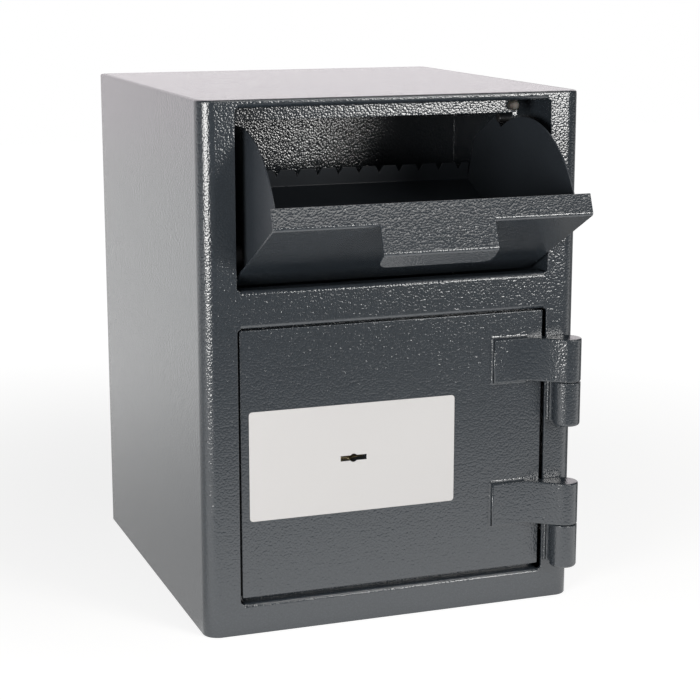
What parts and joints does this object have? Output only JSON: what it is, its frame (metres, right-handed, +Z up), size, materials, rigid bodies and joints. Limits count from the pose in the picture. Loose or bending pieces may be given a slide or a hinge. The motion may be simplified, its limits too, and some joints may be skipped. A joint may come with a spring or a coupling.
{
  "type": "deposit safe",
  "caption": "Steel deposit safe with a tilting hopper with a handle above a hinged, key-locked door.",
  "frame": {"origin": "middle of the base, on the surface that the safe stands on", "axes": "+X to the right seen from the front, +Y from the door to the back, +Z up"},
  "size_m": [0.345, 0.4644, 0.46],
  "materials": {
    "hammered_paint": "glossy dark grey paint with a hammered texture",
    "satin_paint": "smooth satin dark grey paint",
    "label": "satin light grey",
    "steel": "plain machined steel",
    "brass": "plain brass",
    "buffer": "matt",
    "nylon": "black nylon"
  },
  "bodies": {
    "root": {"body_wrapper": "hammered_paint", "top_plate": "hammered_paint", "base_plate": "hammered_paint", "back_plate": "hammered_paint", "left_guide_plate": "hammered_paint", "right_guide_plate": "hammered_paint", "chamber_back_panel": "hammered_paint", "anti_fishing_baffle": "hammered_paint", "stop_bar": "hammered_paint", "closing_buffer": "buffer", "opening_stop_pins": "steel", "pivot_screws": "steel", "pivot_nuts": "steel", "door_rebate_frame": "hammered_paint", "bolt_keeper": "steel", "upper_frame_knuckle": "hammered_paint", "lower_frame_knuckle": "hammered_paint", "upper_hinge_pin": "steel", "lower_hinge_pin": "steel"},
    "hopper": {"hopper_front": "hammered_paint", "hopper_floor": "satin_paint", "left_cheek": "satin_paint", "right_cheek": "satin_paint", "left_pivot_bush": "nylon", "right_pivot_bush": "nylon"},
    "door": {"door_plate": "hammered_paint", "label_plate": "label", "upper_hinge_strap": "hammered_paint", "lower_hinge_strap": "hammered_paint", "dog_bar": "steel", "bolt_guide": "steel", "lock_case": "steel", "lock_cover": "steel", "lock_screws": "steel"},
    "boltwork": {"bolt_bar": "steel", "locking_bolts": "steel", "lock_bolt": "brass"},
    "key_barrel": {"key_barrel": "brass"}
  },
  "joints": [
    {"name": "hopper_tilt", "type": "hinge", "parent": "root", "child": "hopper", "pos_m": [0.0007, -0.1565, 0.327], "axis": [1, 0, 0], "range_deg": [-62.3, 0]},
    {"name": "door_swing", "type": "hinge", "parent": "root", "child": "door", "pos_m": [0.1585, -0.195, 0.15], "axis": [0, 0, 1], "range_deg": [0, 110]},
    {"name": "boltwork_slide", "type": "slide", "parent": "door", "child": "boltwork", "axis": [-1, 0, 0], "range_m": [0, 0.014]},
    {"name": "key_turn", "type": "hinge", "parent": "door", "child": "key_barrel", "pos_m": [-0.038, -0.1635, 0.149], "axis": [0, 1, 0], "range_deg": [0, 180]}
  ],
  "couplings": [
    {"joint": "key_turn", "follows": "boltwork_slide", "rad_per_m": 224.39}
  ]
}
